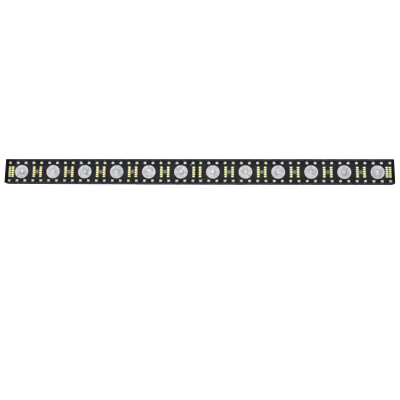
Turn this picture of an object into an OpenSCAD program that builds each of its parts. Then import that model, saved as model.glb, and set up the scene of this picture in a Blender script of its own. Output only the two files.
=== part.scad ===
// LED strip batten: a one metre stage batten with twelve lenses, two rows of colour LEDs and
// columns of white strobe LEDs, recessed in an aluminium channel. A box on the back holds the supply,
// the controls and the sockets, and two tilting brackets bolt it to a truss or a wall.
// X runs along the batten, the light leaves towards -Y, and +Z is up. The origin lies midway
// between the two bracket holes, on the face that meets the truss. Depths are measured backwards
// from the front edge of the channel.

/* [Channel] */
// Overall length, end caps included
batten_l = 1000; // [996:1:1010]
// Height of the channel
batten_h = 65; // [64.5:0.5:66]
// Height of the back of the channel
back_h = 53; // [52.5:0.5:54]
// Depth of the channel
channel_d = 40; // [39.5:0.5:41]
// Depth over which the walls run straight, before they slope in towards the back
straight_d = 22; // [21:0.5:23]
// Wall thickness of the channel
wall = 1.8; // [1.6:0.1:2]
// Depth of the LED boards behind the front edge
recess = 12; // [11.5:0.5:12]
// Thickness of each end cap
cap_t = 3; // [2.5:0.5:3]

/* [Light engine] */
// Distance between neighbouring colour LEDs
led_pitch = 20.95; // [20.7:0.05:20.95]
// Distance from the seam between the boards to the first colour LED
seam_to_led = 9.8; // [9.7:0.1:9.9]
// Height of each colour LED row above the middle
rgb_row_z = 23.6; // [23:0.1:24]
// Distance between the rows of white LEDs
white_row_pitch = 4.83; // [4.6:0.01:4.9]
// Distance between the two white LED columns in a gap
white_col_gap = 17.7; // [17.5:0.1:18.5]
// Diameter of a lens
lens_dia = 34; // [33.4:0.1:34.4]

/* [Rear box] */
// Length of the box on the back
box_l = 294; // [292:1:300]
// Distance from the middle of the batten to the middle of the box
box_x = -19; // [-22:1:-16]
// Height of the box
box_h = 51; // [50:0.5:52]
// Depth of the box behind the channel
box_d = 22; // [22:0.5:23]

/* [Brackets] */
// Distance between the two brackets
bracket_span = 600; // [560:5:640]
// Depth from the front edge to the face that meets the truss
total_depth = 90; // [90:1:96]
// Diameter of the hole for the clamp bolt
clamp_hole_dia = 11; // [10.5:0.5:12]

/* [Hidden] */
$fn = 48;

// Screw bosses of the channel, and the holes for the rear screws
boss_r = 3.1;
boss_bore_r = 1.6;
thread_r = 1.45;
plate_thread_r = 1.3;
// Slack that lets a cutting shape run past the face it cuts
cut = 1;
// Running clearance on the radius between a shaft and its bore
run_gap = 0.06;
// Clearance on the radius of a screw hole
screw_gap = 0.2;
screw_hole_r = 1.5 + screw_gap;
// Gap round a part that slides or sits in an opening
fit_gap = 0.4;

// Lengthways layout, seen from the front: left is -X
half_l = batten_l / 2;
channel_l = batten_l - 2 * cap_t;
leds_per_board = 24;
lenses_per_board = 6;
leds_per_lens = leds_per_board / lenses_per_board;
board_gap = 1.6;
board_end = channel_l / 2 - fit_gap;
rows = 6;
end_col_gap = 8.1;

// Depths of the layers, from the boards backwards
board_front = recess;
board_t = 1.6;
board_back = board_front + board_t;
ledge_t = 1.6;
lens_front = board_front - 1;
lens_flange_t = 2;
lens_back = 23.4;
strip_front = 25;
strip_t = 1.6;
plate_front = strip_front + strip_t;
plate_t = 2.5;
plate_back = plate_front + plate_t;
plate_screw_l = plate_t + ledge_t - 0.1;
rear_board_front = plate_back + ledge_t;
circuit_t = 1.6;
back_wall_t = 2;
box_back = channel_d + box_d;
sheet = 1.2;
panel_inside = box_back - sheet;
control_front = box_back - 10;
pivot_d = 62;

// Heights
half_h = batten_h / 2;
half_back = back_h / 2;
slope = (half_h - half_back) / (channel_d - straight_d);
board_h = 2 * (half_h - wall - fit_gap);
strip_h = 34;
plate_h = 2 * (wall_at(plate_back) - wall - 0.8);
// Screw bosses as [depth, height], their middles just inside the walls
boss_in = 2.4;
back_boss_d = channel_d - back_wall_t - boss_in;
front_boss = [18.2, half_h - wall - boss_in];
back_boss = [back_boss_d, wall_at(back_boss_d) - wall - boss_in];

// Colour LED and white LED packages
rgb_size = [5.4, 5, 1.6];
white_size = [5.7, 3, 0.8];
lens_r = lens_dia / 2;
lens_hole_r = lens_r + fit_gap;
board_screw_r = 1.9;
spacer_r = 3.2;
led_well_r = 2.1;

// Brackets
bracket_x = bracket_span / 2;
lug_w = 36;
lug_base_t = 3;
ear_gap = 0.3;
ear_t = 3;
ear_r = 12;
base_h = 38;
bolt_r = 4;

// Screw places, as distances from the middle of the part they hold
plate_screw_z = 22;
box_screw_z = 18;
box_screw_in = 6;
eye_screw_x = 11;
lug_screw_x = 13;
lug_screw_z = 17;
socket_screw_x = 9.5;
socket_screw_z = 12;

// Places along the box, for the parts on its back panel
power_in_x = box_x - 124;
power_out_x = box_x - 92;
fuse_x = box_x - 66;
display_x = box_x - 14;
button_xs = [for (i = [0 : 3]) box_x + 24 + 14 * i];
button_r = 4;
dmx_in_x = box_x + 92;
dmx_out_x = box_x + 124;
safety_x = -215;
eye_hole_r = 5;
flange_size = [26, 31, 2];
socket_r = 11.8;
socket_body_d = 19;
pin_angles = [30, 150, 270];
display_z = 2;
end_foot = 11;
cavity_r = 9.5;
cavity_depth = 14;
latch_w = 6;

function at(depth) = depth - total_depth;
function led_x(k) = seam_to_led + k * led_pitch;
function lens_x(j) = led_x(leds_per_lens * j + leds_per_lens / 2 - 0.5);
function gap_x(j) = led_x(leds_per_lens * (j + 1) - 0.5);
// Height of the channel's outer wall above the middle
function wall_at(depth) = half_h - slope * max(0, depth - straight_d);

// White LED columns of one board: the one at the seam, a pair in each gap and a close pair at the end
white_cols = concat(
  [gap_x(-1) + white_col_gap / 2],
  [for (j = [0 : lenses_per_board - 2], s = [-1, 1]) gap_x(j) + s * white_col_gap / 2],
  [led_x(leds_per_board - 1) - end_col_gap, led_x(leds_per_board - 1)]
);

// ---------- Shapes used by many parts ----------

// A profile in Y and Z, drawn in depth and height, swept along X
module along_x(length) {
  translate([0, at(0), 0]) rotate([90, 0, 90]) linear_extrude(length, center = true) children();
}

// A round shape about a Y axis, drawn as radius and depth
module around_y() {
  translate([0, at(0), 0]) rotate([-90, 0, 0]) rotate_extrude() children();
}

// A box centred in X and Z that runs from one depth to another
module slab(width, height, from, to) {
  translate([-width / 2, at(from), -height / 2]) cube([width, to - from, height]);
}

// A rod along Y from one depth to another
module rod(r, from, to) {
  translate([0, at(from), 0]) rotate([-90, 0, 0]) cylinder(r = r, h = to - from);
}

// A pan head screw with a cross recess: the head stands on z = 0 and the shank goes down
module screw(shank_r, head_r, head_h, shank_l) {
  difference() {
    union() {
      cylinder(r1 = head_r, r2 = head_r * 0.72, h = head_h);
      translate([0, 0, -shank_l]) cylinder(r = shank_r, h = shank_l);
    }
    cross_recess(head_r, head_h);
  }
}

// A countersunk screw whose flat head ends at z = 0
module flush_screw(shank_r, head_r, head_h, shank_l) {
  difference() {
    union() {
      translate([0, 0, -head_h]) cylinder(r1 = shank_r, r2 = head_r, h = head_h);
      translate([0, 0, -shank_l]) cylinder(r = shank_r, h = shank_l);
    }
    translate([0, 0, -head_h]) cross_recess(head_r, head_h);
  }
}

module cross_recess(head_r, head_h) {
  for (a = [0, 90])
    rotate([0, 0, a])
      translate([-head_r * 0.55, -head_r * 0.11, head_h * 0.35])
        cube([head_r * 1.1, head_r * 0.22, head_h]);
}

// Turns a screw drawn along Z so that its head faces the front or the back of the batten
module facing_front(depth) { translate([0, at(depth), 0]) rotate([90, 0, 0]) children(); }
module facing_back(depth) { translate([0, at(depth), 0]) rotate([-90, 0, 0]) children(); }

// Repeats a piece on both halves of the batten
module both_sides() {
  children();
  mirror([1, 0, 0]) children();
}

// Repeats a piece on both sides of the middle, along X, along Z, or at four corners
module left_and_right(x) { for (s = [-1, 1]) translate([s * x, 0, 0]) children(); }
module above_and_below(z) { for (s = [-1, 1]) translate([0, 0, s * z]) children(); }
module at_corners(x, z) { left_and_right(x) above_and_below(z) children(); }

// The gaps between the lenses of each board, where its screws are
module each_gap() {
  both_sides() for (j = [0 : lenses_per_board - 2]) translate([gap_x(j), 0, 0]) children();
}

// The two screw places at opposite corners of a socket's flange
module socket_screw_places() {
  for (s = [-1, 1]) translate([s * socket_screw_x, 0, -s * socket_screw_z]) children();
}

// ---------- Channel and end caps ----------

// The channel's outer outline, or its inner one when inset by the wall thickness
module wall_outline(inset, front, back) {
  polygon([
    [front, half_h - inset], [straight_d, half_h - inset], [back, wall_at(back) - inset],
    [back, inset - wall_at(back)], [straight_d, inset - half_h], [front, inset - half_h]
  ]);
}

// The walls, with the ledges and screw bosses that run the whole length inside them
module channel_body() {
  difference() {
    union() {
      difference() {
        along_x(channel_l) wall_outline(0, 0, channel_d);
        along_x(channel_l + 2 * cut) wall_outline(wall, -cut, channel_d - back_wall_t);
      }
      for (boss = [front_boss, back_boss], s = [-1, 1])
        along_x(channel_l) translate([boss[0], s * boss[1]]) circle(r = boss_r);
      for (s = [-1, 1]) {
        ledge(board_back, half_h - wall, 4.5, s);
        ledge(plate_back, wall_at(plate_back) - wall, 9, s);
      }
    }
    for (boss = [front_boss, back_boss], s = [-1, 1])
      along_x(channel_l + 2 * cut) translate([boss[0], s * boss[1]]) circle(r = boss_bore_r);
  }
}

// A ledge on the inside of a wall, rooted half way into it
module ledge(from, inner, width, side) {
  root = wall / 2;
  middle = inner + (root - width) / 2;
  translate([0, 0, side * middle]) slab(channel_l, width + root, from, from + ledge_t);
}

module channel() {
  back_from = channel_d - back_wall_t - cut;
  back_to = channel_d + cut;
  color("#26272a") difference() {
    channel_body();
    translate([box_x, 0, 0]) slab(132, 42, back_from, back_to);
    left_and_right(bracket_x) at_corners(lug_screw_x, lug_screw_z) rod(thread_r, back_from, back_to);
    each_gap() above_and_below(plate_screw_z)
      rod(plate_thread_r, plate_back - cut, plate_back + ledge_t + cut);
    translate([box_x, 0, 0]) at_corners(box_l / 2 + box_screw_in, box_screw_z)
      rod(thread_r, back_from, back_to);
    translate([safety_x, 0, 0]) left_and_right(eye_screw_x) rod(thread_r, back_from, back_to);
  }
}

module end_cap() {
  inset = 0.8;
  color("#1d1e20") difference() {
    translate([half_l - cap_t / 2, 0, 0]) along_x(cap_t) wall_outline(inset, inset / 2, channel_d - inset);
    for (boss = [front_boss, back_boss], s = [-1, 1])
      translate([half_l, at(boss[0]), s * boss[1]]) rotate([0, 90, 0]) {
        translate([0, 0, -cap_t - cut]) cylinder(r = screw_hole_r, h = cap_t + 2 * cut);
        translate([0, 0, -1.8]) cylinder(r1 = 1.5, r2 = 3.3, h = 1.8);
      }
  }
}

module end_cap_left() { mirror([1, 0, 0]) end_cap(); }
module end_cap_right() { end_cap(); }

module end_cap_screws() {
  color("#3c3d40") both_sides()
    for (boss = [front_boss, back_boss], s = [-1, 1])
      translate([half_l - 0.1, at(boss[0]), s * boss[1]])
        rotate([0, 90, 0]) flush_screw(1.4, 3, 1.6, 12);
}

// ---------- LED boards ----------

module led_board() {
  board_l = board_end - board_gap / 2;
  color("#202226") difference() {
    translate([board_gap / 2 + board_l / 2, 0, 0]) slab(board_l, board_h, board_front, board_back);
    for (j = [0 : lenses_per_board - 1])
      translate([lens_x(j), 0, 0]) rod(lens_hole_r, board_front - cut, board_back + cut);
    each_gap() rod(board_screw_r + screw_gap, board_front - cut, board_back + cut);
  }
}

module led_board_left() { mirror([1, 0, 0]) led_board(); }
module led_board_right() { led_board(); }

module board_screws() {
  washer_t = 0.6;
  color("#8c8a84") each_gap() facing_front(board_front) {
    translate([0, 0, washer_t]) screw(board_screw_r, 4.6, 1.8, 12);
    cylinder(r = 5.2, h = washer_t);
  }
}

module board_spacers() {
  color("#c9c9c4") each_gap() difference() {
    rod(spacer_r, board_back, plate_front);
    rod(board_screw_r + 0.1, board_back - cut, plate_front - 2);
  }
}

module rgb_leds() {
  color("#e8e8e4") for (k = [0 : leds_per_board - 1], s = [-1, 1])
    translate([led_x(k), 0, s * rgb_row_z]) difference() {
      slab(rgb_size[0], rgb_size[1], board_front - rgb_size[2], board_front);
      rod(led_well_r, board_front - rgb_size[2] - cut, board_front - rgb_size[2] + 0.5);
    }
}

module rgb_leds_left() { mirror([1, 0, 0]) rgb_leds(); }
module rgb_leds_right() { rgb_leds(); }

module white_leds() {
  color("#f4f08c") for (x = white_cols, r = [0 : rows - 1])
    translate([x, 0, (r - (rows - 1) / 2) * white_row_pitch])
      slab(white_size[0], white_size[1], board_front - white_size[2], board_front);
}

module white_leds_left() { mirror([1, 0, 0]) white_leds(); }
module white_leds_right() { white_leds(); }

// ---------- Lenses and the emitters behind them ----------

// Radius of the lens's reflecting side, a parabola that opens towards the front
function side_r(depth) = 6 + 8.6 * sqrt((lens_back - depth) / (lens_back - lens_front - lens_flange_t));

module lens() {
  flange_back = lens_front + lens_flange_t;
  side = [for (t = [0 : 0.125 : 1]) let (d = flange_back + t * (lens_back - flange_back)) [side_r(d), d]];
  color("#d6d8d8") around_y() polygon(concat(
    [
      [0, lens_front + 0.3], [2.6, lens_front + 0.3], [2.9, lens_front + 0.6],
      [13.9, lens_front + 0.6], [14.3, lens_front], [lens_r - 0.35, lens_front],
      [lens_r, lens_front + 0.35], [lens_r, flange_back]
    ],
    side,
    [[3.4, lens_back], [3.4, lens_back - 4.4], [0, lens_back - 5]]
  ));
}

// Lenses are numbered from the left, as seen from the front
module lens_at(n) {
  j = n > lenses_per_board ? n - lenses_per_board - 1 : lenses_per_board - n;
  translate([(n > lenses_per_board ? 1 : -1) * lens_x(j), 0, 0]) lens();
}

module each_lens() {
  both_sides() for (j = [0 : lenses_per_board - 1]) translate([lens_x(j), 0, 0]) children();
}

module lens_holders() {
  color("#e4e4e0") each_lens() around_y() polygon([
    [15.2, lens_front + lens_flange_t], [16.4, lens_front + lens_flange_t], [16.4, strip_front],
    [7.5, strip_front], [7.5, strip_front - 1.4], [15.2, strip_front - 1.4]
  ]);
}

module power_leds() {
  color("#e9c46a") each_lens() {
    rod(4, strip_front - 1.6, strip_front);
    intersection() {
      translate([0, at(strip_front - 1.6), 0]) sphere(r = 2.7);
      rod(3, strip_front - 5, strip_front - 1.5);
    }
  }
}

module emitter_strip() {
  strip_l = board_end - board_gap - 2;
  color("#dcdcd6") difference() {
    translate([1 + strip_l / 2, 0, 0]) slab(strip_l, strip_h, strip_front, plate_front);
    each_gap() rod(spacer_r + fit_gap, strip_front - cut, plate_front + cut);
  }
}

module emitter_strip_left() { mirror([1, 0, 0]) emitter_strip(); }
module emitter_strip_right() { emitter_strip(); }

module heat_plate() {
  color("#b9bcc0") difference() {
    slab(channel_l - 4, plate_h, plate_front, plate_back);
    each_gap() above_and_below(plate_screw_z) rod(screw_hole_r, plate_front - cut, plate_back + cut);
  }
}

module plate_screws() {
  color("#8f9194") each_gap() above_and_below(plate_screw_z)
    facing_front(plate_front) screw(1.2, 2.7, 1.7, plate_screw_l);
}

module driver_boards() {
  top = rear_board_front + circuit_t;
  color("#2d5a3a") both_sides() translate([330, 0, 0]) {
    slab(210, 44, rear_board_front, top);
    for (i = [-3 : 3]) {
      translate([i * 27, 0, 8]) slab(12, 12, top, top + 3.8);
      translate([i * 27 + 10, 0, -12]) slab(7, 6, top, top + 1.8);
    }
    for (dx = [-96, 96]) translate([dx, 0, -4]) slab(9, 20, top, top + 3.6);
  }
}

// ---------- Rear box ----------

module socket_hole(r) { rod(r, panel_inside - cut, box_back + cut); }

module box_shell() {
  vent_size = [22, 2];
  color("#222326") difference() {
    translate([box_x, 0, 0]) along_x(box_l) difference() {
      translate([channel_d, -box_h / 2]) square([box_d, box_h]);
      translate([channel_d - cut, -box_h / 2 + sheet]) square([box_d - sheet + cut, box_h - 2 * sheet]);
    }
    for (x = [power_in_x, power_out_x, dmx_in_x, dmx_out_x]) translate([x, 0, 0]) {
      socket_hole(socket_r + screw_gap);
      socket_screw_places() socket_hole(screw_hole_r);
    }
    translate([fuse_x, 0, 0]) socket_hole(6.6);
    translate([display_x, 0, display_z]) slab(50, 20, panel_inside - cut, box_back + cut);
    for (x = button_xs) translate([x, 0, 0]) socket_hole(button_r + run_gap);
    for (i = [-4 : 4], d = [5, 9.5, 14]) {
      front = channel_d + d;
      translate([box_x + i * 31, 0, 0]) slab(vent_size[0], 2 * box_h, front, front + vent_size[1]);
    }
  }
}

module box_end() {
  end_h = box_h - fit_gap;
  color("#1f2022") difference() {
    union() {
      translate([box_l / 2 + sheet / 2, 0, 0]) slab(sheet, end_h, channel_d, box_back);
      translate([box_l / 2 + sheet + end_foot / 2, 0, 0])
        slab(end_foot, end_h - 4, channel_d, channel_d + sheet);
    }
    translate([box_l / 2 + box_screw_in, 0, 0]) above_and_below(box_screw_z)
      rod(screw_hole_r, channel_d - cut, channel_d + sheet + cut);
  }
}

module box_end_left() { translate([box_x, 0, 0]) mirror([1, 0, 0]) box_end(); }
module box_end_right() { translate([box_x, 0, 0]) box_end(); }

// The identical screws that hold the box, the bracket lugs and the safety eye on the channel
module rear_screws() {
  color("#4a4b4e") {
    translate([box_x, 0, 0]) at_corners(box_l / 2 + box_screw_in, box_screw_z) rear_screw(sheet);
    translate([safety_x, 0, 0]) left_and_right(eye_screw_x) rear_screw(sheet);
    left_and_right(bracket_x) at_corners(lug_screw_x, lug_screw_z) rear_screw(lug_base_t);
  }
}

module rear_screw(under) { facing_back(channel_d + under) screw(1.35, 3, 2, under + 3); }

module power_supply() {
  top = rear_board_front + circuit_t;
  color("#b98b4e") translate([box_x, 0, 0]) {
    slab(124, 40, rear_board_front, top);
    translate([-8, 0, 2]) slab(34, 28, top, top + 16);
    translate([-46, 0, -6]) slab(18, 22, top, top + 12);
    for (x = [20, 34, 48]) translate([x, 0, 9]) rod(6, top, top + 15.5);
    translate([34, 0, -12]) slab(42, 4, top, top + 14);
    translate([-50, 0, 13]) slab(16, 8, top, top + 8);
  }
}

// The control board, with a switch behind each button
module control_board() {
  top = control_front + circuit_t;
  color("#27553a") {
    translate([box_x + 17, 0, 0]) slab(122, 42, control_front, top);
    for (x = button_xs) translate([x, 0, 0]) slab(6, 6, top, top + 2.6);
    translate([box_x + 2, 0, -14]) slab(14, 5, top, top + 2.4);
  }
}

module display_module() {
  color("#1a1a1c") translate([display_x, 0, display_z])
    slab(48, 18, control_front + circuit_t, panel_inside - 0.3);
}

module display_window() {
  color("#3a0f12") translate([display_x, 0, display_z]) slab(49.6, 19.6, panel_inside, box_back + 0.3);
}

// A push button: cap, the collar that keeps it in the panel, and the stem that reaches its switch
module button(n) {
  color("#d8d8d4") translate([button_xs[n], 0, 0]) {
    rod(button_r, panel_inside - 1.3, box_back + 1.6);
    rod(button_r + 1, panel_inside - 2, panel_inside - 0.9);
    rod(1.6, control_front + circuit_t + 3.7, panel_inside - 1.5);
  }
}

// ---------- Sockets ----------

module flange_outline() {
  c = 3;
  w = flange_size[0] / 2;
  h = flange_size[1] / 2;
  polygon([
    [w - c, h], [w, h - c], [w, c - h], [w - c, -h],
    [c - w, -h], [-w, c - h], [-w, h - c], [c - w, h]
  ]);
}

module socket_flange() {
  translate([0, at(box_back + flange_size[2]), 0]) rotate([90, 0, 0])
    linear_extrude(flange_size[2]) flange_outline();
}

module socket_body(body_depth) {
  difference() {
    union() {
      socket_flange();
      rod(socket_r, box_back - body_depth, box_back + cut);
    }
    socket_screw_places() rod(screw_hole_r, box_back - cut, box_back + 4);
    children();
  }
}

module socket_cavity() {
  rod(cavity_r, box_back + flange_size[2] - cavity_depth, box_back + 4);
}

module power_socket() {
  socket_body(socket_body_d) {
    socket_cavity();
    for (a = [90, 210])
      rotate([0, a, 0]) translate([cavity_r, 0, 0]) slab(3, 3, box_back - 6, box_back + 4);
  }
}

module power_in() { color("#2f5fb3") translate([power_in_x, 0, 0]) power_socket(); }
module power_out() { color("#c9ccd0") translate([power_out_x, 0, 0]) power_socket(); }

module dmx_in() {
  color("#2a2b2e") translate([dmx_in_x, 0, 0]) socket_body(socket_body_d) socket_cavity();
}

// The output's shell, and inside it the insert with three pin holes, a plug's skirt apart from it
module dmx_out() {
  face = box_back + flange_size[2];
  color("#2a2b2e") translate([dmx_out_x, 0, 0]) {
    socket_body(socket_body_d) {
      rod(10.2, face - cavity_depth, face + cut);
      translate([0, 0, 11.1]) slab(latch_w + 0.6, 5.4, face - 6, face + cut);
    }
    difference() {
      rod(8.4, face - cavity_depth, face - 0.5);
      for (a = pin_angles) rotate([0, a, 0]) translate([5.2, 0, 0]) rod(1.5, face - 10, face + cut);
    }
  }
}

// The latch's pad stays in front of the panel when pressed, and its stem passes through the panel's hole
module dmx_latch() {
  face = box_back + flange_size[2];
  pad_t = 2.3;
  pad_front = face + 1.6;
  color("#b8babd") translate([dmx_out_x, 0, 0]) {
    translate([0, 0, 11.4]) slab(latch_w, 4, pad_front - pad_t, pad_front);
    translate([0, 0, 10.4]) slab(latch_w, 1.9, face - 4, face);
  }
}

// The three pins of the DMX input and the three blades in each power socket
module socket_contacts() {
  floor_d = box_back + flange_size[2] - cavity_depth;
  color("#c8a24a") {
    translate([dmx_in_x, 0, 0]) for (a = pin_angles)
      rotate([0, a, 0]) translate([5.8, 0, 0]) rod(1.2, floor_d, floor_d + 11);
    for (x = [power_in_x, power_out_x], a = pin_angles)
      translate([x, 0, 0]) rotate([0, a, 0]) translate([6.8, 0, 0]) slab(1.2, 4, floor_d, floor_d + 9);
  }
}

module socket_screws() {
  color("#55565a") for (x = [power_in_x, power_out_x, dmx_in_x, dmx_out_x])
    translate([x, 0, 0]) socket_screw_places()
      facing_back(box_back + flange_size[2]) screw(1.4, 2.8, 1.4, 6);
}

module fuse_holder() {
  color("#1b1b1d") translate([fuse_x, 0, 0]) difference() {
    union() {
      rod(8.5, box_back, box_back + 2);
      rod(6.4, box_back - 19, box_back + 1);
    }
    rod(5.2, box_back - 17, box_back + 3);
  }
}

module fuse_cap() {
  color("#26262a") translate([fuse_x, 0, 0]) difference() {
    union() {
      rod(5.1, box_back - 8, box_back + 4);
      rod(6.6, box_back + 2.2, box_back + 4.6);
    }
    slab(1.4, 9, box_back + 3.2, box_back + 6);
  }
}

// ---------- Brackets ----------

module lug() {
  difference() {
    union() {
      slab(lug_w, 44, channel_d, channel_d + lug_base_t);
      slab(lug_w, 18, channel_d + lug_base_t, pivot_d);
      translate([0, at(pivot_d), 0]) rotate([0, 90, 0]) cylinder(r = 9, h = lug_w, center = true);
    }
    translate([0, at(pivot_d), 0]) rotate([0, 90, 0])
      cylinder(r = bolt_r + run_gap, h = lug_w + 2 * cut, center = true);
    at_corners(lug_screw_x, lug_screw_z)
      rod(screw_hole_r, channel_d - cut, channel_d + lug_base_t + cut);
  }
}

module bracket_lugs() { color("#2b2c2f") both_sides() translate([bracket_x, 0, 0]) lug(); }

module safety_eye() {
  eye_d = channel_d + 12;
  color("#8e9094") translate([safety_x, 0, 0]) difference() {
    union() {
      slab(30, 14, channel_d, channel_d + sheet);
      slab(14, 2, channel_d, eye_d);
      translate([0, at(eye_d), -1]) cylinder(r = 10, h = 2);
    }
    translate([0, at(eye_d), -cut - 1]) cylinder(r = eye_hole_r, h = 2 + 2 * cut);
    left_and_right(eye_screw_x) rod(screw_hole_r, channel_d - cut, channel_d + 3);
  }
}

module ear_profile() {
  union() {
    translate([pivot_d, 0]) circle(r = ear_r);
    translate([pivot_d, -ear_r]) square([total_depth - pivot_d, 2 * ear_r]);
  }
}

module bracket() {
  ear_x = lug_w / 2 + ear_gap + ear_t / 2;
  width = 2 * ear_x + ear_t;
  color("#2b2c2f") difference() {
    union() {
      slab(width, base_h, total_depth - ear_t, total_depth);
      for (s = [-1, 1]) translate([s * ear_x, 0, 0]) along_x(ear_t) ear_profile();
    }
    translate([0, at(pivot_d), 0]) rotate([0, 90, 0])
      cylinder(r = bolt_r + run_gap, h = width + 2 * cut, center = true);
    rod(clamp_hole_dia / 2, total_depth - ear_t - cut, total_depth + cut);
  }
}

module bracket_left() { translate([-bracket_x, 0, 0]) bracket(); }
module bracket_right() { translate([bracket_x, 0, 0]) bracket(); }

// The pivot bolt has its hexagon head on the side that faces the box and its knob on the other
module pivot_bolt() {
  ear_out = lug_w / 2 + ear_gap + ear_t;
  color("#9a9ca0") translate([bracket_x, at(pivot_d), 0]) rotate([0, 90, 0]) {
    translate([0, 0, -ear_out - 5]) cylinder(r = 7, h = 5, $fn = 6);
    translate([0, 0, -ear_out - 1]) cylinder(r = bolt_r, h = 2 * ear_out + 13);
  }
}

module pivot_bolt_left() { mirror([1, 0, 0]) pivot_bolt(); }
module pivot_bolt_right() { pivot_bolt(); }

module knob() {
  knob_from = lug_w / 2 + ear_gap + ear_t + 0.5;
  lobes = 5;
  color("#17171a") translate([bracket_x + knob_from, at(pivot_d), 0]) rotate([0, 90, 0]) difference() {
    union() {
      cylinder(r = 7, h = 3);
      translate([0, 0, 3]) cylinder(r = 9.4, h = 11);
      for (i = [0 : lobes - 1]) rotate([0, 0, i * 360 / lobes])
        translate([8.6, 0, 3]) cylinder(r = 3.6, h = 11);
    }
    translate([0, 0, -cut]) cylinder(r = bolt_r + run_gap, h = 12.7 + cut);
  }
}

module knob_left() { mirror([1, 0, 0]) knob(); }
module knob_right() { knob(); }

// ---------- The assembly, one line for each node ----------

channel();
end_cap_left();
end_cap_right();
end_cap_screws();
led_board_left();
led_board_right();
board_screws();
board_spacers();
rgb_leds_left();
rgb_leds_right();
white_leds_left();
white_leds_right();
lens_at(1);  // lens_01
lens_at(2);  // lens_02
lens_at(3);  // lens_03
lens_at(4);  // lens_04
lens_at(5);  // lens_05
lens_at(6);  // lens_06
lens_at(7);  // lens_07
lens_at(8);  // lens_08
lens_at(9);  // lens_09
lens_at(10);  // lens_10
lens_at(11);  // lens_11
lens_at(12);  // lens_12
lens_holders();
power_leds();
emitter_strip_left();
emitter_strip_right();
heat_plate();
plate_screws();
driver_boards();
box_shell();
box_end_left();
box_end_right();
rear_screws();
power_supply();
control_board();
display_module();
display_window();
button(0);  // button_menu
button(1);  // button_down
button(2);  // button_up
button(3);  // button_enter
power_in();
power_out();
dmx_in();
dmx_out();
dmx_latch();
fuse_holder();
fuse_cap();
socket_contacts();
socket_screws();
bracket_lugs();
safety_eye();
bracket_left();
bracket_right();
pivot_bolt_left();
pivot_bolt_right();
knob_left();
knob_right();
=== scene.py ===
"""The looks of the LED strip batten: materials, detailed LEDs and lenses, small trim, light and camera."""

import math

import bmesh
import bpy
from mathutils import Matrix, Quaternion, Vector


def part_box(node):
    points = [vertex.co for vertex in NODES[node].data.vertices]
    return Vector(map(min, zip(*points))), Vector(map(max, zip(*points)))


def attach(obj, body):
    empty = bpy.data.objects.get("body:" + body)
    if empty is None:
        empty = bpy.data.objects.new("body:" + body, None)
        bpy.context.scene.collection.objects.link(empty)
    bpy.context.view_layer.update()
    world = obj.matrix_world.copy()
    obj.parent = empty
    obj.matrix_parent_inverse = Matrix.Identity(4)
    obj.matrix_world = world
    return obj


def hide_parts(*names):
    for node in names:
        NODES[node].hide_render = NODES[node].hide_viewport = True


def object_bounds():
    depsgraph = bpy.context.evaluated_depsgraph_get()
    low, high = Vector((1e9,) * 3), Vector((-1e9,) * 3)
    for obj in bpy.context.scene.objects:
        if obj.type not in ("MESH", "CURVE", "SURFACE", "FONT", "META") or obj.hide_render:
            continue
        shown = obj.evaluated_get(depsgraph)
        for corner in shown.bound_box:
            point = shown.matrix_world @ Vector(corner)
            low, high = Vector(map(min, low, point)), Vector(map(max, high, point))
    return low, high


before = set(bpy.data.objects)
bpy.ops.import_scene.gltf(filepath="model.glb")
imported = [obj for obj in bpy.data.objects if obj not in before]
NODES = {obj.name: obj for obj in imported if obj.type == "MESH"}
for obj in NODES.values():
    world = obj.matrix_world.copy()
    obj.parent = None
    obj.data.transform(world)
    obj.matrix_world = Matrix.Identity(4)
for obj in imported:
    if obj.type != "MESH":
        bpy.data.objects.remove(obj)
cad_low, cad_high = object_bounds()

MM = 0.001
ROOT = "batten"
SCENE = bpy.context.scene
SCENE.view_settings.view_transform = "Standard"


# ---------- Ways to make a material ----------

COAT_SHEEN = 0.07
COAT_ROUGHNESS = 0.74
COAT_PEEL = 0.06 * MM
COAT_GRAIN = 1400
# How much lighter a powder coat gets where its tone drifts
COAT_DRIFT = 1.35
# The channel's front lips, and how far back its LED boards lie
LIP = 1.2 * MM
RECESS = 12 * MM


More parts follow.
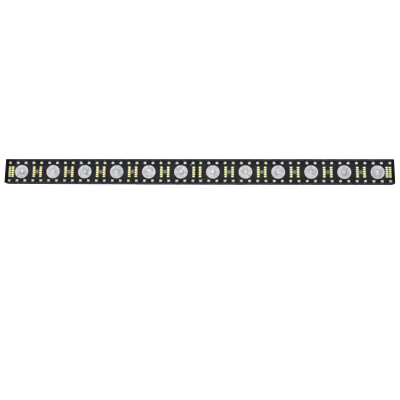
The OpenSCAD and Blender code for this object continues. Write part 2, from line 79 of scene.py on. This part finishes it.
class Shader:
    """A material with a Principled shader, and short ways to add procedural detail to it."""

    def __init__(self, name, color, roughness=0.5, metallic=0.0, **sockets):
        self.material = bpy.data.materials.new(name)
        self.material.use_nodes = True
        self.tree = self.material.node_tree
        self.tree.nodes.clear()
        self.bsdf = self.add("ShaderNodeBsdfPrincipled")
        output = self.add("ShaderNodeOutputMaterial")
        self.join(self.bsdf.outputs[0], output.inputs[0])
        self.bsdf.inputs["Base Color"].default_value = (*color, 1)
        self.bsdf.inputs["Roughness"].default_value = roughness
        self.bsdf.inputs["Metallic"].default_value = metallic
        for socket, value in sockets.items():
            self.bsdf.inputs[socket.replace("_", " ")].default_value = value
        self.place = self.add("ShaderNodeTexCoord").outputs["Object"]
        self.bumped = None

    def add(self, kind, **values):
        """Adds a node, with values for its sockets or, where no socket has that name, its settings."""
        node = self.tree.nodes.new(kind)
        for name, value in values.items():
            if name in node.inputs:
                node.inputs[name].default_value = value
            else:
                setattr(node, name, value)
        return node

    def join(self, source, target):
        self.tree.links.new(source, target)

    def noise(self, scale, detail, stretch=(1, 1, 1)):
        """Noise in the object's own coordinates, with scale in features per metre."""
        mapping = self.add("ShaderNodeMapping")
        mapping.inputs["Scale"].default_value = stretch
        self.join(self.place, mapping.inputs["Vector"])
        node = self.add("ShaderNodeTexNoise", Scale=scale, Detail=detail)
        self.join(mapping.outputs[0], node.inputs["Vector"])
        return node.outputs["Fac"]

    def compute(self, operation, *terms):
        """A Math node whose terms are sockets or numbers."""
        node = self.add("ShaderNodeMath", operation=operation)
        for socket, term in zip(node.inputs, terms):
            if isinstance(term, bpy.types.NodeSocket):
                self.join(term, socket)
            else:
                socket.default_value = term
        return node.outputs[0]

    def vary_color(self, source, low, high, start=0.35, end=0.65):
        """Blends two base colours by a value, between the two given stops."""
        node = self.add("ShaderNodeValToRGB")
        first, last = node.color_ramp.elements
        first.position = start
        last.position = end
        first.color = (*low, 1)
        last.color = (*high, 1)
        self.join(source, node.inputs[0])
        self.join(node.outputs[0], self.bsdf.inputs["Base Color"])

    def vary_roughness(self, source, low, high):
        node = self.add("ShaderNodeMapRange")
        node.inputs["To Min"].default_value = low
        node.inputs["To Max"].default_value = high
        self.join(source, node.inputs["Value"])
        self.join(node.outputs[0], self.bsdf.inputs["Roughness"])

    def bump(self, source, height, strength):
        """Adds relief of the given height in metres, on top of any added before."""
        node = self.add("ShaderNodeBump", Strength=strength, Distance=height)
        self.join(source, node.inputs["Height"])
        if self.bumped:
            self.join(self.bumped, node.inputs["Normal"])
        self.bumped = node.outputs[0]
        self.join(self.bumped, self.bsdf.inputs["Normal"])


def scaled(color, factor):
    return tuple(min(1, channel * factor) for channel in color)


def new_coat(name, color, grain):
    """Powder coat with a gloss that drifts a little over its length, and fine orange peel."""
    shader = Shader(name, color, COAT_ROUGHNESS, Specular_IOR_Level=COAT_SHEEN)
    shader.vary_roughness(shader.noise(60, 3), COAT_ROUGHNESS - 0.1, COAT_ROUGHNESS + 0.1)
    shader.bump(shader.noise(grain, 2), COAT_PEEL, 0.5)
    return shader


def powder_coat(name, color, grain=COAT_GRAIN):
    """Powder coat whose tone drifts too."""
    shader = new_coat(name, color, grain)
    shader.vary_color(shader.noise(9, 3), color, scaled(color, COAT_DRIFT))
    return shader.material


def coat_with_painted_wall_light(name, color, painted_light_color):
    """Powder coat whose recess walls, inside the front lips, are painted paler: painted light standing in
    for the light that falls on those downward-facing walls.
    """
    shader = new_coat(name, color, COAT_GRAIN)
    axes = shader.add("ShaderNodeSeparateXYZ")
    shader.join(shader.place, axes.inputs[0])
    height = shader.compute("ABSOLUTE", axes.outputs["Z"])
    within_lips = shader.compute("LESS_THAN", height, cad_high.z - LIP)
    in_front_of_boards = shader.compute("LESS_THAN", axes.outputs["Y"], cad_low.y + RECESS)
    painted_light_walls = shader.compute("MULTIPLY", within_lips, in_front_of_boards)
    # Painted light: the recess walls inside the lips take the paler colour.
    shader.vary_color(painted_light_walls, color, painted_light_color, 0.0, 1.0)
    return shader.material


def moulded(name, color, roughness=0.4, grain=2600, **sockets):
    """Injection-moulded plastic with a fine spark-eroded texture."""
    shader = Shader(name, color, roughness, **sockets)
    shader.vary_color(shader.noise(120, 3), color, scaled(color, 1.12))
    shader.vary_roughness(shader.noise(200, 2), roughness * 0.85, min(1, roughness * 1.2))
    shader.bump(shader.noise(grain, 2), 0.03 * MM, 0.35)
    return shader.material


def brushed(name, color, roughness, stretch=(1, 1, 30)):
    """Metal with fine scratches in one direction and faint stains."""
    shader = Shader(name, color, roughness, 1.0)
    scratches = shader.noise(900, 3, stretch)
    shader.vary_color(shader.noise(160, 4), scaled(color, 0.78), color)
    shader.vary_roughness(scratches, roughness * 0.8, roughness * 1.35)
    shader.bump(scratches, 0.02 * MM, 0.4)
    return shader.material


def solder_mask(name, color):
    """Circuit board lacquer over glass weave and buried tracks."""
    shader = Shader(name, color, 0.4, Specular_IOR_Level=COAT_SHEEN)
    shader.vary_color(shader.noise(45, 4), scaled(color, 0.82), scaled(color, 1.2))
    shader.vary_roughness(shader.noise(300, 2), 0.28, 0.46)
    tracks = shader.add("ShaderNodeTexBrick", Scale=170.0)
    tracks.inputs["Mortar Size"].default_value = 0.02
    shader.join(shader.place, tracks.inputs["Vector"])
    shader.bump(tracks.outputs["Fac"], 0.03 * MM, 0.25)
    shader.bump(shader.noise(1800, 2), 0.01 * MM, 0.3)
    return shader.material


def lens_zone(name, dark, light, roughness, mottle):
    """Clear moulded acrylic over one zone of its aluminised side, which reads as mottled silver; in the
    ring zone the darker mottle is partly painted reflection.
    """
    shader = Shader(name, light, roughness, 0.25, Coat_Weight=0.6, Coat_Roughness=0.08)
    shader.vary_color(shader.noise(mottle, 5), dark, light, 0.36, 0.62)
    shader.vary_roughness(shader.noise(mottle * 1.6, 3), roughness * 0.7, roughness * 1.5)
    shader.bump(shader.noise(mottle * 2, 2), 0.1 * MM, 0.45)
    return shader.material


# ---------- Materials ----------

BLACK = (0.009, 0.009, 0.0092)
# Painted glow: the unlit phosphor gives off a little light of its own, so it reads brighter
PHOSPHOR_PAINTED_GLOW = 0.2
PHOSPHOR_GLOW_COLOR = (1, 0.92, 0.15, 1)

# The paler second colour is painted light on the channel's recess walls.
channel_coat = coat_with_painted_wall_light("channel_coat", BLACK, (0.075, 0.075, 0.069))
cap_coat = powder_coat("cap_coat", (0.006, 0.006, 0.007))
box_coat = powder_coat("box_coat", (0.014, 0.014, 0.015), 1100)
bracket_coat = powder_coat("bracket_coat", (0.013, 0.013, 0.014), 1200)

board_mask = solder_mask("board_mask", (0.017, 0.0175, 0.021))
green_mask = solder_mask("green_mask", (0.02, 0.11, 0.05))
white_mask = solder_mask("white_mask", (0.6, 0.6, 0.58))
supply_board = solder_mask("supply_board", (0.24, 0.14, 0.05))

bright_steel = brushed("bright_steel", (0.3, 0.29, 0.27), 0.42)
black_steel = brushed("black_steel", (0.05, 0.05, 0.052), 0.42)
zinc = brushed("zinc", (0.3, 0.3, 0.31), 0.38)
mill_aluminium = brushed("mill_aluminium", (0.6, 0.61, 0.63), 0.35, (30, 1, 1))
gold = brushed("gold", (0.75, 0.52, 0.2), 0.22)
solder = brushed("solder", (0.6, 0.6, 0.58), 0.4, (1, 1, 1))

white_plastic = moulded("white_plastic", (0.8, 0.8, 0.77))
black_plastic = moulded("black_plastic", (0.012, 0.012, 0.013), 0.38)
knob_plastic = moulded("knob_plastic", (0.01, 0.01, 0.011), 0.55, 1500)
grey_plastic = moulded("grey_plastic", (0.35, 0.36, 0.38), 0.42)
blue_plastic = moulded("blue_plastic", (0.012, 0.06, 0.27), 0.5)
button_plastic = moulded("button_plastic", (0.3, 0.3, 0.29), 0.45)

led_body = moulded("led_body", (0.83, 0.83, 0.8), 0.34, 4000)
white_led_body = moulded("white_led_body", (0.6, 0.6, 0.52), 0.34, 4000)
led_resin = moulded("led_resin", (0.66, 0.67, 0.66), 0.2, 5000, Coat_Weight=0.4)
led_die = moulded("led_die", (0.25, 0.24, 0.23))
# The phosphor carries a painted glow, though the LEDs are off.
phosphor = moulded(
    "phosphor",
    (0.95, 0.9, 0.28),
    0.32,
    6000,
    Emission_Color=PHOSPHOR_GLOW_COLOR,
    Emission_Strength=PHOSPHOR_PAINTED_GLOW,
)
emitter_silicone = moulded("emitter_silicone", (0.85, 0.6, 0.16), 0.15, 3000, Coat_Weight=0.8)

silk = moulded("silk", (0.4, 0.41, 0.42), 0.6)
# A near-black sheet behind the board seam: painted shade in the gap.
seam_painted_shade = moulded("seam_painted_shade", (0.002, 0.002, 0.002), 0.9, Specular_IOR_Level=0.1)
display_glass = moulded("display_glass", (0.02, 0.0015, 0.002), 0.22, 5000, Specular_IOR_Level=0.2)
display_bars = moulded("display_bars", (0.09, 0.012, 0.014), 0.3)

lens_outer = lens_zone("lens_outer", (0.37, 0.39, 0.41), (0.57, 0.58, 0.58), 0.26, 110)
# Partly the aluminised mottle, partly painted reflection: the ring's dark blue-grey end stands in for the
# dark crescents its slopes reflect.
lens_ring_painted_reflection = lens_zone("lens_ring_painted_reflection", (0.17, 0.2, 0.25), (0.58, 0.6, 0.61), 0.24, 42)
lens_middle = lens_zone("lens_middle", (0.45, 0.47, 0.49), (0.68, 0.69, 0.69), 0.2, 90)
lens_rim = moulded("lens_rim", (0.68, 0.69, 0.69), 0.3, 5000)
gate_scar = moulded("gate_scar", (0.16, 0.13, 0.12), 0.5)


def assign(material, *names):
    for name in names:
        slots = NODES[name].data.materials
        slots.clear()
        slots.append(material)


assign(channel_coat, "channel")
assign(cap_coat, "end_cap_left", "end_cap_right")
assign(box_coat, "box_shell", "box_end_left", "box_end_right")
assign(bracket_coat, "bracket_left", "bracket_right", "bracket_lugs")
assign(board_mask, "led_board_left", "led_board_right")
assign(green_mask, "driver_boards", "control_board")
assign(white_mask, "emitter_strip_left", "emitter_strip_right")
assign(supply_board, "power_supply")
assign(bright_steel, "board_screws", "plate_screws")
assign(black_steel, "end_cap_screws", "rear_screws", "socket_screws")
assign(zinc, "safety_eye", "pivot_bolt_left", "pivot_bolt_right", "dmx_latch")
assign(mill_aluminium, "heat_plate", "board_spacers")
assign(gold, "socket_contacts")
assign(white_plastic, "lens_holders")
assign(emitter_silicone, "power_leds")
assign(black_plastic, "dmx_in", "dmx_out", "fuse_holder", "fuse_cap", "display_module")
assign(display_glass, "display_window")
assign(blue_plastic, "power_in")
assign(grey_plastic, "power_out")
assign(button_plastic, "button_menu", "button_down", "button_up", "button_enter")
assign(knob_plastic, "knob_left", "knob_right")


# ---------- Softened edges on CAD nodes ----------

WELD_GAP = 0.01 * MM
SHARP = math.radians(50)


def soften(width, *names):
    """Rounds the sharp edges of CAD nodes for the light to catch, without changing their meshes."""
    for name in names:
        weld = NODES[name].modifiers.new("weld", "WELD")
        weld.merge_threshold = WELD_GAP
        bevel = NODES[name].modifiers.new("bevel", "BEVEL")
        bevel.width = width
        bevel.segments = 2
        bevel.limit_method = "ANGLE"
        bevel.angle_limit = SHARP
        bevel.harden_normals = False


soften(0.35 * MM, "channel", "end_cap_left", "end_cap_right", "box_shell", "box_end_left", "box_end_right")
soften(0.4 * MM, "bracket_left", "bracket_right", "bracket_lugs", "knob_left", "knob_right")
soften(0.25 * MM, "power_in", "power_out", "dmx_in", "dmx_out", "fuse_cap", "fuse_holder", "safety_eye")


# ---------- Mesh helpers ----------


def mm(x, y, z):
    """A vector from three numbers in millimetres."""
    return Vector((x * MM, y * MM, z * MM))


def islands(name):
    """The boxes of a CAD node's separate solids, sorted along X and then Z."""
    mesh = bmesh.new()
    mesh.from_mesh(NODES[name].data)
    bmesh.ops.remove_doubles(mesh, verts=mesh.verts, dist=0.001 * MM)
    left = set(mesh.verts)
    boxes = []
    while left:
        group = [left.pop()]
        low, high = group[0].co.copy(), group[0].co.copy()
        while group:
            vertex = group.pop()
            low = Vector(map(min, low, vertex.co))
            high = Vector(map(max, high, vertex.co))
            for edge in vertex.link_edges:
                other = edge.other_vert(vertex)
                if other in left:
                    left.remove(other)
                    group.append(other)
        boxes.append((low, high))
    mesh.free()
    return sorted(boxes, key=lambda box: (round(box[0].x, 4), box[0].z))


def add_box(mesh, low, high, bevel=0.0, slot=0):
    """Adds a box with bevelled edges, from its two opposite corners."""
    place = Matrix.Translation((low + high) / 2) @ Matrix.Diagonal((*(high - low), 1))
    vertices = bmesh.ops.create_cube(mesh, size=1, matrix=place)["verts"]
    if bevel:
        edges = list(dict.fromkeys(edge for vertex in vertices for edge in vertex.link_edges))
        done = bmesh.ops.bevel(mesh, geom=edges, offset=bevel, segments=2, affect="EDGES", profile=0.5)
        vertices = done["verts"]
    for face in {face for vertex in vertices for face in vertex.link_faces}:
        face.material_index = slot


def add_block(mesh, centre, half, bevel=0.0, slot=0):
    """Adds a box with bevelled edges, from its centre and its half size."""
    add_box(mesh, centre - half, centre + half, bevel, slot)


def add_turned(mesh, centre, profile, steps, slot, relief=None):
    """Adds a shape turned about Y, from (radius, depth) points. Depth runs away from the viewer."""
    rings = []
    for radius, depth in profile:
        ring = []
        for i in range(1 if radius == 0 else steps):
            angle = 2 * math.pi * i / steps
            lift = relief(radius, angle) if relief else 0.0
            around = Vector((radius * math.cos(angle), depth - lift, radius * math.sin(angle)))
            ring.append(mesh.verts.new(centre + around))
        rings.append(ring)
    for a, b in zip(rings, rings[1:]):
        for i in range(steps):
            j = (i + 1) % steps
            if len(a) == 1:
                corners = [a[0], b[i], b[j]]
            elif len(b) == 1:
                corners = [a[i], b[0], a[j]]
            else:
                corners = [a[i], b[i], b[j], a[j]]
            face = mesh.faces.new(corners)
            face.material_index = slot
            face.smooth = True


def finish_piece(name, mesh, materials, slot, *replaced):
    """Turns a bmesh into a piece that rides on the batten and stands for the CAD nodes it replaces."""
    data = bpy.data.meshes.new(name)
    bmesh.ops.recalc_face_normals(mesh, faces=mesh.faces)
    mesh.to_mesh(data)
    mesh.free()
    for material in materials:
        data.materials.append(material)
    piece = bpy.data.objects.new(name, data)
    SCENE.collection.objects.link(piece)
    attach(piece, ROOT)
    if replaced:
        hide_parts(*replaced)


# ---------- Lenses ----------

LENS_COUNT = 12
# The first few lenses have the scar of their moulding gate at the bottom, the others at the top
LOW_GATES = 3
LENS_STEPS = 96
ZONE_STEPS = 10
SIDE_STEPS = 12
LENS_RIM = 1.7 * MM
RIM_DEPTH = 2 * MM
# The rim's section in mm, as (distance in from the outer edge, depth behind the front)
RIM_SECTION = ((1.45, 0.1), (1.2, 0), (0.45, 0), (0.1, 0.15), (0, 0.5), (0, RIM_DEPTH / MM))
# Where the zones of the face end, as shares of its radius
LENS_MIDDLE = 0.3
LENS_RING = 0.52
# The face's depth behind the rim, its dome and trough, and its outer slope
LENS_DISH = 0.9 * MM
LENS_DOME = 0.45 * MM
LENS_SLOPE = 0.35 * MM
# The bowl behind the rim: its radius at the back, and how much wider it starts
BOWL_BACK = 6 * MM
BOWL_SPREAD = 8.6 * MM
# Rings of pillows on the face: where they start and stop, their size, and how much they vary round a ring
PILLOW_START = 1.5 * MM
PILLOW_STOP = 15 * MM
PILLOW_LENGTH = 1.9 * MM
PILLOW_WIDTH = 1.1 * MM
PILLOW_HEIGHT = 0.14 * MM
PILLOW_SWING = 0.45
PILLOW_LEAST = 6
# The gate scar: its half size, how far it is from the lens's edge and how deep
SCAR = mm(1.4, 0.22, 0.7)
SCAR_INSET = 2 * MM
SCAR_DEPTH = 0.3 * MM
# Material slots, after one for each of the face's three zones
RIM_SLOT = 3
SCAR_SLOT = 4


def lens_relief(radius, angle):
    """Low pillows in rings over the lens face, which break up what it reflects."""
    if radius < PILLOW_START or radius > PILLOW_STOP:
        return 0.0
    ring = math.sin(radius / PILLOW_LENGTH * math.pi)
    count = max(PILLOW_LEAST, round(radius / PILLOW_WIDTH))
    return PILLOW_HEIGHT * abs(ring) * (1 - PILLOW_SWING + PILLOW_SWING * math.cos(count * angle))


def lens_dish(share):
    """Depth of the face below the rim: a dome over the emitter, a trough round it, then a slope."""
    dome = LENS_DOME * math.cos(min(share / LENS_RING, 1) * math.pi)
    return LENS_DISH - dome - LENS_SLOPE * share * share


def make_lens(name, gate_side):
    """One lens, with the scar of its moulding gate at the top (1) or at the bottom (-1)."""
    low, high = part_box(name)
    centre = Vector(((low.x + high.x) / 2, 0, (low.z + high.z) / 2))
    outer = (high.x - low.x) / 2
    front = low.y
    face_radius = outer - LENS_RIM
    mesh = bmesh.new()

    edges = (0, LENS_MIDDLE, LENS_RING, 1)
    for zone, (start, end) in enumerate(zip(edges, edges[1:])):
        shares = [start + (end - start) * i / ZONE_STEPS for i in range(ZONE_STEPS + 1)]
        zone_face = [(face_radius * share, front + lens_dish(share)) for share in shares]
        add_turned(mesh, centre, zone_face, LENS_STEPS, zone, lens_relief)

    rim = [(face_radius, front + lens_dish(1))]
    rim += [(outer - inward * MM, front + depth * MM) for inward, depth in RIM_SECTION]
    add_turned(mesh, centre, rim, LENS_STEPS, RIM_SLOT)

    bowl_front = front + RIM_DEPTH
    bowl = [(outer, bowl_front)]
    for i in range(SIDE_STEPS + 1):
        share = i / SIDE_STEPS
        radius = BOWL_BACK + BOWL_SPREAD * math.sqrt(1 - share)
        bowl.append((radius, bowl_front + share * (high.y - bowl_front)))
    bowl.append((0, high.y))
    add_turned(mesh, centre, bowl, LENS_STEPS, RIM_SLOT)
    bmesh.ops.remove_doubles(mesh, verts=mesh.verts, dist=WELD_GAP)

    scar = centre + Vector((0, front + SCAR_DEPTH, gate_side * (outer - SCAR_INSET)))
    add_block(mesh, scar, SCAR, 0.1 * MM, SCAR_SLOT)
    zones = [lens_middle, lens_ring_painted_reflection, lens_outer, lens_rim, gate_scar]
    finish_piece(name + "_optic", mesh, zones, "lens", name)


for number in range(1, LENS_COUNT + 1):
    make_lens(f"lens_{number:02d}", -1 if number <= LOW_GATES else 1)


# ---------- LED packages ----------

# Material slots of a package
BODY, FILLING, SOLDER, DARK = range(4)
# The resin well of a colour LED in mm, as (radius, depth behind the front)
RESIN_SECTION = ((0, 0.02), (1.5, 0), (1.75, -0.03), (1.95, -0.06), (2.1, -0.02))
RESIN_STEPS = 20
# Half sizes of small parts, and where they stand on the package
DIVIDER = mm(2.1, 0.04, 0.22)
DIVIDER_LIFT = 0.07 * MM
DIE = mm(0.22, 0.04, 0.22)
DIE_PITCH = 1.1 * MM
DIE_RISE = 0.75 * MM
DIE_LIFT = 0.1 * MM
LEAD = mm(0.5, 0.22, 0.42)
LEAD_PITCH = 1.6 * MM
LEAD_OUT = 3 * MM
LEAD_LIFT = 0.25 * MM
WINDOW_INSET = mm(0.7, 0, 0.28)
WINDOW_LIFT = 0.05 * MM
WINDOW_DEPTH = 0.1 * MM
PAD = mm(0.4, 0.11, 0.9)
PAD_OUT = 0.3 * MM
PAD_LIFT = 0.12 * MM


def rgb_package(mesh, low, high):
    """A colour LED: white body, resin well with three dies and a divider, six leads and their solder."""
    centre = (low + high) / 2
    front = low.y
    add_box(mesh, low, high, 0.18 * MM, BODY)
    well = [(radius * MM, depth * MM) for radius, depth in RESIN_SECTION]
    add_turned(mesh, Vector((centre.x, front, centre.z)), well, RESIN_STEPS, FILLING)
    add_block(mesh, Vector((centre.x, front - DIVIDER_LIFT, centre.z)), DIVIDER, 0.02 * MM, DARK)
    for k in (-1, 0, 1):
        die = Vector((centre.x + k * DIE_PITCH, front - DIE_LIFT, centre.z + DIE_RISE))
        add_block(mesh, die, DIE, 0, DARK)
        for side in (-1, 1):
            tip = Vector((centre.x + side * LEAD_OUT, high.y - LEAD_LIFT, centre.z + k * LEAD_PITCH))
            add_block(mesh, tip, LEAD, 0.08 * MM, SOLDER)


def white_package(mesh, low, high):
    """A white LED: pale body, phosphor over most of it, and a soldered pad at each end."""
    add_box(mesh, low, high, 0.1 * MM, BODY)
    window_low = Vector((low.x, low.y - WINDOW_LIFT, low.z)) + WINDOW_INSET
    window_high = Vector((high.x, low.y + WINDOW_DEPTH, high.z)) - WINDOW_INSET
    add_box(mesh, window_low, window_high, 0.04 * MM, FILLING)
    for x in (low.x - PAD_OUT, high.x + PAD_OUT):
        add_block(mesh, Vector((x, high.y - PAD_LIFT, (low.z + high.z) / 2)), PAD, 0.06 * MM, SOLDER)


def make_leds(node, package, materials, slot):
    """One piece with a detailed package in place of each plain one of a CAD node."""
    mesh = bmesh.new()
    for low, high in islands(node):
        package(mesh, low, high)
    finish_piece(node + "_detail", mesh, materials, slot, node)


for side in ("left", "right"):
    make_leds(f"rgb_leds_{side}", rgb_package, [led_body, led_resin, solder, led_die], "rgb_led")
    make_leds(f"white_leds_{side}", white_package, [white_led_body, phosphor, solder], "white_led")


# ---------- Silk marks on the boards, and a painted-shade strip behind the seam ---

# Printed lines: how wide, how thick, how far outside an LED's corner and how long
MARK_WIDTH = 0.3 * MM
MARK_THICKNESS = 0.03 * MM
MARK_OUT_X = 0.45 * MM
MARK_OUT_Z = 0.25 * MM
WHITE_MARK = 1.1 * MM
RGB_MARK = 1.5 * MM
# The slanted tick near the seam, on the left board
TICK_X = -15 * MM
TICK_Z = 19.5 * MM
TICK_LEAN = mm(1.9, 0, 2.3)
TICK_WIDTH = 0.8 * MM
TICK_THICKNESS = 0.05 * MM
# The seam strip, a painted shade: its half width, and the depths of its two faces behind the boards
STRIP_HALF_WIDTH = 6 * MM
STRIP_FRONT = 0.02 * MM
STRIP_BACK = 0.3 * MM


def add_stroke(mesh, start, end, width, thickness):
    """Adds a flat printed line between two points of the board face."""
    along = (end - start).normalized()
    across = Vector((-along.z, 0, along.x)) * width / 2
    front = Vector((0, -thickness, 0))
    corners = [start - across, end - across, end + across, start + across]
    back_ring = [mesh.verts.new(corner) for corner in corners]
    front_ring = [mesh.verts.new(corner + front) for corner in corners]
    mesh.faces.new(front_ring)
    for i in range(4):
        j = (i + 1) % 4
        mesh.faces.new((back_ring[i], back_ring[j], front_ring[j], front_ring[i]))


def make_silk(side, turn):
    """Marks at one corner of each LED and a tick near the seam. The right board is the left one turned."""
    mesh = bmesh.new()
    for node, length in ((f"white_leds_{side}", WHITE_MARK), (f"rgb_leds_{side}", RGB_MARK)):
        for low, high in islands(node):
            near = low if turn > 0 else high
            corner = Vector((near.x - turn * MARK_OUT_X, high.y, near.z - turn * MARK_OUT_Z))
            for way in (Vector((turn * length, 0, 0)), Vector((0, 0, turn * length))):
                add_stroke(mesh, corner, corner + way, MARK_WIDTH, MARK_THICKNESS)
    middle = Vector((turn * TICK_X, high.y, turn * TICK_Z))
    add_stroke(mesh, middle - TICK_LEAN, middle + TICK_LEAN, TICK_WIDTH, TICK_THICKNESS)
    finish_piece(f"silk_marks_{side}", mesh, [silk], "led_board")


def make_seam_shade_strip():
    """A near-black strip that bridges the gap behind the two boards: painted shade, so the seam between
    them reads dark.
    """
    board_low, board_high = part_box("led_board_left")
    mesh = bmesh.new()
    low = Vector((-STRIP_HALF_WIDTH, board_high.y + STRIP_FRONT, board_low.z))
    high = Vector((STRIP_HALF_WIDTH, board_high.y + STRIP_BACK, board_high.z))
    add_box(mesh, low, high, 0.05 * MM)
    finish_piece("seam_strip", mesh, [seam_painted_shade], "led_board")


# ---------- Display ----------

DIGIT_PITCH = 10.6 * MM
# From one upright bar of a digit to the other, and from one level bar to the next
DIGIT_WIDTH = 5.4 * MM
DIGIT_STEP = 5.2 * MM
# Half the width of a bar, half its thickness, and how far its middle is in front of the window
BAR_HALF_WIDTH = 0.45 * MM
BAR_HALF_THICKNESS = 0.03 * MM
BAR_LIFT = 0.02 * MM


def make_digits():
    """Four unlit digits of seven bars each, printed on the display window."""
    low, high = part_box("display_window")
    middle = (low + high) / 2
    level_half = DIGIT_WIDTH / 2 - BAR_HALF_WIDTH
    upright_half = DIGIT_STEP / 2 - BAR_HALF_WIDTH
    mesh = bmesh.new()
    for digit in (-1.5, -0.5, 0.5, 1.5):
        x = middle.x + digit * DIGIT_PITCH
        bars = [(x, middle.z + k * DIGIT_STEP, level_half, BAR_HALF_WIDTH) for k in (-1, 0, 1)]
        for upright_x in (x - DIGIT_WIDTH / 2, x + DIGIT_WIDTH / 2):
            for upright_z in (middle.z - DIGIT_STEP / 2, middle.z + DIGIT_STEP / 2):
                bars.append((upright_x, upright_z, BAR_HALF_WIDTH, upright_half))
        for bar_x, bar_z, half_x, half_z in bars:
            half = Vector((half_x, BAR_HALF_THICKNESS, half_z))
            add_block(mesh, Vector((bar_x, high.y + BAR_LIFT, bar_z)), half)
    finish_piece("display_digits", mesh, [display_bars], "display_glass")


make_silk("left", 1)
make_silk("right", -1)
make_seam_shade_strip()
make_digits()


# ---------- Stage, light and camera ----------

PAPER_GLOW = 0.6
ROOM_GLOW = 0.45
# The backdrop: its floor, its wall, the bend between them and where its edges are
FLOOR_Z = -0.75
FLOOR_EDGE = -4.0
WALL_Y = 1.6
WALL_TOP = 3.5
BEND = 0.7
BEND_STEPS = 16
PAPER_HALF_WIDTH = 5

CENTRE = Vector((0, cad_low.y, 0))
CAMERA_DISTANCE = 1.245
CAMERA_DROP = math.radians(12)
CAMERA_YAW = math.radians(2.9)
CAMERA_ROLL = math.radians(0.7)
# Shares of the picture's width: the batten's length, how far its middle is above the picture's middle,
# and how far it is to the left of it
BATTEN_SHARE = 0.975
BAR_PLACE = 0.0725
SEAM_PLACE = 0.00925
HALF_FIELD = math.atan(0.5 / BATTEN_SHARE / CAMERA_DISTANCE)
SENSOR = 36.0


def make_backdrop():
    """A pale floor that curves up into a wall."""
    mesh = bmesh.new()
    line = [(FLOOR_EDGE, FLOOR_Z), (WALL_Y - BEND, FLOOR_Z)]
    for i in range(1, BEND_STEPS + 1):
        angle = math.radians(90 * i / BEND_STEPS)
        line.append((WALL_Y - BEND + BEND * math.sin(angle), FLOOR_Z + BEND * (1 - math.cos(angle))))
    line.append((WALL_Y, WALL_TOP))
    columns = [[mesh.verts.new((x, y, z)) for y, z in line] for x in (-PAPER_HALF_WIDTH, PAPER_HALF_WIDTH)]
    for i in range(len(line) - 1):
        face = mesh.faces.new((columns[0][i], columns[1][i], columns[1][i + 1], columns[0][i + 1]))
        face.smooth = True
    data = bpy.data.meshes.new("backdrop")
    mesh.to_mesh(data)
    mesh.free()
    glow = {"Emission_Color": (1, 1, 1, 1), "Emission_Strength": PAPER_GLOW}
    shader = Shader("backdrop_paper", (0.93, 0.93, 0.93), 0.9, **glow)
    shader.vary_color(shader.noise(3, 2), (0.92, 0.92, 0.92), (0.94, 0.94, 0.94))
    data.materials.append(shader.material)
    backdrop = bpy.data.objects.new("backdrop", data)
    SCENE.collection.objects.link(backdrop)


def make_light(name, place, target, size, power):
    """A soft rectangular light, with places and sizes in metres and power in watts."""
    data = bpy.data.lights.new(name, "AREA")
    data.shape = "RECTANGLE"
    data.size, data.size_y = size
    data.energy = power
    light = bpy.data.objects.new(name, data)
    light.location = place
    light.rotation_euler = (Vector(target) - Vector(place)).to_track_quat("-Z", "Y").to_euler()
    SCENE.collection.objects.link(light)


def make_world():
    """An even white glow from all round."""
    world = bpy.data.worlds.new("studio")
    world.use_nodes = True
    background = world.node_tree.nodes["Background"]
    background.inputs["Color"].default_value = (1, 1, 1, 1)
    background.inputs["Strength"].default_value = ROOM_GLOW
    SCENE.world = world


def make_camera():
    """A camera below and a little to the right of the face, with the batten above the picture's middle."""
    data = bpy.data.cameras.new("camera")
    data.sensor_width = SENSOR
    data.lens = SENSOR / 2 / math.tan(HALF_FIELD)
    camera = bpy.data.objects.new("camera", data)
    straight_back = Vector((0, -math.cos(CAMERA_DROP), -math.sin(CAMERA_DROP)))
    back = Matrix.Rotation(CAMERA_YAW, 3, "Z") @ straight_back
    camera.location = CENTRE + back * CAMERA_DISTANCE
    lower = math.atan(2 * math.tan(HALF_FIELD) * BAR_PLACE)
    right = math.atan(2 * math.tan(HALF_FIELD) * SEAM_PLACE)
    aim = (-back).to_track_quat("-Z", "Y")
    aim = aim @ Quaternion((0, 1, 0), -right)
    aim = aim @ Quaternion((1, 0, 0), -lower)
    aim = aim @ Quaternion((0, 0, 1), CAMERA_ROLL)
    camera.rotation_euler = aim.to_euler()
    SCENE.collection.objects.link(camera)
    SCENE.camera = camera


make_backdrop()
make_world()
make_light("key", place=(-0.6, -1.6, 1.3), target=(0, 0, 0), size=(2.4, 1.0), power=26)
make_light("fill", place=(0.9, -1.4, -0.5), target=(0, 0, 0), size=(1.6, 0.6), power=4)
make_light("wall_wash", place=(0, 0.6, 2.2), target=(0, 1.6, 0.2), size=(4.0, 1.0), power=60)
make_camera()
